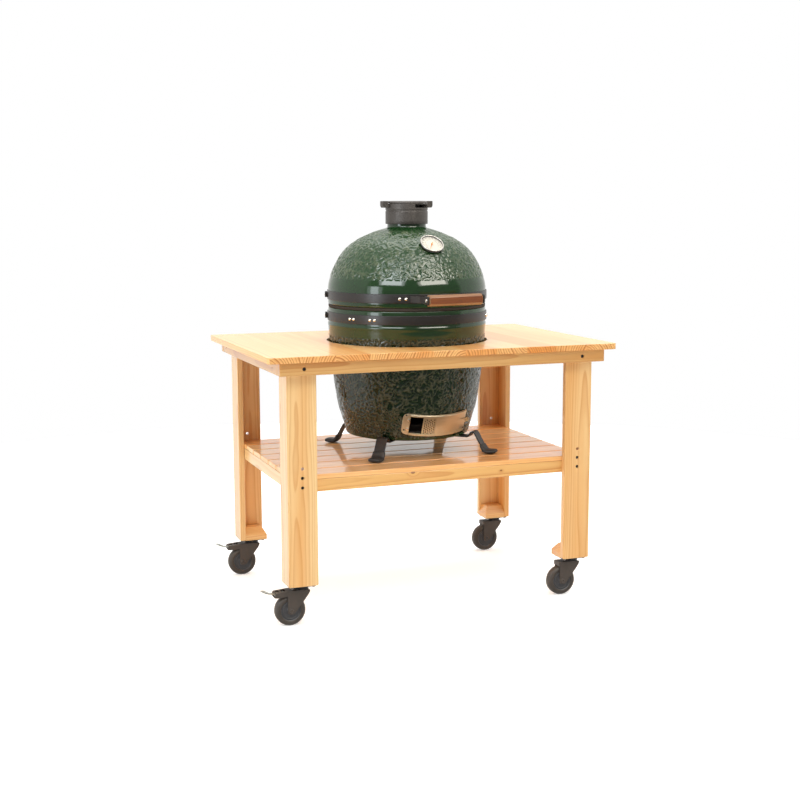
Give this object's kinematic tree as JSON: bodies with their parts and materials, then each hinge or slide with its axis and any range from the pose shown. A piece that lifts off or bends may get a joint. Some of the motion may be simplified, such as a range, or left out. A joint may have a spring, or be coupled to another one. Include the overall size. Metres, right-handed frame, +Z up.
{
  "type": "kamado grill table",
  "caption": "Varnished pine table on swivel casters that carries an egg-shaped ceramic grill in a round hole of its top, with a slatted shelf below.",
  "frame": {"origin": "on the floor, under the middle of the whole object's bounding box", "axes": "+Z up; -Y is the table's long front side, where the grill's handle, thermometer and draft door face; +X to the right seen from the front; the left casters have the brakes"},
  "size_m": [1.222, 0.804, 1.346],
  "materials": {
    "varnished_pine": "clear gloss varnish over pale pine with orange growth lines and brown knots",
    "green_glaze": "deep green glossy glaze, dimpled above and below a smooth waist",
    "fireclay": "unglazed matt fireclay",
    "cast_iron": "warm grey sand-cast surface with a satin coat",
    "black_steel": "satin black powder coat",
    "stainless": "brushed stainless steel",
    "zinc_steel": "bright zinc-plated pressed steel",
    "wheel_polymer": "dark grey moulded polymer, satin on the hub and dull on the tread",
    "boot_rubber": "matt black moulded rubber",
    "gasket_felt": "black felt",
    "grip_wood": "dark brown oiled wood with lighter worn edges",
    "dial_face": "matt cream enamel with fine grey marks",
    "dial_glass": "clear flat lens",
    "needle_paint": "orange enamel"
  },
  "bodies": {
    "table": {"table_top": "varnished_pine", "apron_front": "varnished_pine", "apron_back": "varnished_pine", "apron_left": "varnished_pine", "apron_right": "varnished_pine", "leg_front_left": "varnished_pine", "leg_front_right": "varnished_pine", "leg_back_left": "varnished_pine", "leg_back_right": "varnished_pine", "shelf_rail_front": "varnished_pine", "shelf_rail_back": "varnished_pine", "shelf_rail_left": "varnished_pine", "shelf_rail_right": "varnished_pine", "shelf_slat_1": "varnished_pine", "shelf_slat_2": "varnished_pine", "shelf_slat_3": "varnished_pine", "shelf_slat_4": "varnished_pine", "shelf_slat_5": "varnished_pine", "shelf_slat_6": "varnished_pine", "shelf_slat_7": "varnished_pine", "caster_plate_front_left": "black_steel", "caster_plate_front_right": "black_steel", "caster_plate_back_left": "black_steel", "caster_plate_back_right": "black_steel", "base_bowl": "green_glaze", "gasket": "gasket_felt", "firebox": "fireclay", "fire_ring": "fireclay", "charcoal_grate": "cast_iron", "cooking_grate": "stainless", "lower_band": "black_steel", "hinge_base_bracket": "black_steel", "hinge_pin": "stainless", "hinge_spring_left": "stainless", "hinge_spring_right": "stainless", "draft_frame": "stainless", "kamado_stand": "black_steel"},
    "lid": {"dome_lid": "green_glaze", "upper_band": "black_steel", "hinge_lid_bracket": "black_steel", "handle_bracket_left": "black_steel", "handle_bracket_right": "black_steel", "handle_grip": "grip_wood", "thermometer_case": "stainless", "thermometer_lens": "dial_glass", "vent_collar": "cast_iron"},
    "cap": {"vent_cap": "cast_iron"},
    "gauge": {"thermometer_needle": "needle_paint"},
    "draft_slider": {"draft_door": "stainless"},
    "screen_slider": {"screen_door": "stainless"},
    "swivel_fork_front_left": {"caster_fork_front_left": "black_steel"},
    "swivel_fork_front_right": {"caster_fork_front_right": "black_steel"},
    "swivel_fork_back_left": {"caster_fork_back_left": "black_steel"},
    "swivel_fork_back_right": {"caster_fork_back_right": "black_steel"},
    "roller_front_left": {"wheel_front_left": "wheel_polymer"},
    "roller_front_right": {"wheel_front_right": "wheel_polymer"},
    "roller_back_left": {"wheel_back_left": "wheel_polymer"},
    "roller_back_right": {"wheel_back_right": "wheel_polymer"},
    "pedal_front_left": {"brake_pedal_front_left": "zinc_steel"},
    "pedal_back_left": {"brake_pedal_back_left": "zinc_steel"}
  },
  "joints": [
    {"name": "dome_hinge", "type": "hinge", "parent": "table", "child": "lid", "pos_m": [-0.03383, 0.32916, 0.992], "axis": [-0.9914, -0.1305, 0], "range_deg": [0, 75]},
    {"name": "cap_turn", "type": "hinge", "parent": "lid", "child": "cap", "pos_m": [0.0095, 0, 1.33], "axis": [0, 0, 1], "range_deg": [0, 90]},
    {"name": "gauge_needle", "type": "hinge", "parent": "lid", "child": "gauge", "pos_m": [0.02332, -0.19281, 1.1988], "axis": [0.046, -0.6411, 0.766], "range_deg": [-250, 0]},
    {"name": "draft_door_slide", "type": "hinge", "parent": "table", "child": "draft_slider", "pos_m": [0.00958, -0.00054, 0.67566], "axis": [0.0457, -0.3056, 0.9511], "range_deg": [-21.5, 2]},
    {"name": "draft_screen_slide", "type": "hinge", "parent": "table", "child": "screen_slider", "pos_m": [0.00958, -0.00054, 0.67566], "axis": [0.0457, -0.3056, 0.9511], "range_deg": [-10.6, 11.4]},
    {"name": "swivel_front_left", "type": "hinge", "parent": "table", "child": "swivel_fork_front_left", "pos_m": [-0.479, -0.3195, 0.12], "axis": [0, 0, 1], "continuous": true},
    {"name": "swivel_front_right", "type": "hinge", "parent": "table", "child": "swivel_fork_front_right", "pos_m": [0.489, -0.3195, 0.12], "axis": [0, 0, 1], "continuous": true},
    {"name": "swivel_back_left", "type": "hinge", "parent": "table", "child": "swivel_fork_back_left", "pos_m": [-0.479, 0.3195, 0.12], "axis": [0, 0, 1], "continuous": true},
    {"name": "swivel_back_right", "type": "hinge", "parent": "table", "child": "swivel_fork_back_right", "pos_m": [0.489, 0.3195, 0.12], "axis": [0, 0, 1], "continuous": true},
    {"name": "wheel_spin_front_left", "type": "hinge", "parent": "swivel_fork_front_left", "child": "roller_front_left", "pos_m": [-0.515, -0.3195, 0.05], "axis": [0, 1, 0], "continuous": true},
    {"name": "wheel_spin_front_right", "type": "hinge", "parent": "swivel_fork_front_right", "child": "roller_front_right", "pos_m": [0.453, -0.3195, 0.05], "axis": [0, 1, 0], "continuous": true},
    {"name": "wheel_spin_back_left", "type": "hinge", "parent": "swivel_fork_back_left", "child": "roller_back_left", "pos_m": [-0.515, 0.3195, 0.05], "axis": [0, 1, 0], "continuous": true},
    {"name": "wheel_spin_back_right", "type": "hinge", "parent": "swivel_fork_back_right", "child": "roller_back_right", "pos_m": [0.453, 0.3195, 0.05], "axis": [0, 1, 0], "continuous": true},
    {"name": "brake_front_left", "type": "hinge", "parent": "swivel_fork_front_left", "child": "pedal_front_left", "pos_m": [-0.535, -0.3195, 0.1092], "axis": [0, 1, 0], "range_deg": [-8, 0]},
    {"name": "brake_back_left", "type": "hinge", "parent": "swivel_fork_back_left", "child": "pedal_back_left", "pos_m": [-0.535, 0.3195, 0.1092], "axis": [0, 1, 0], "range_deg": [-8, 0]}
  ]
}
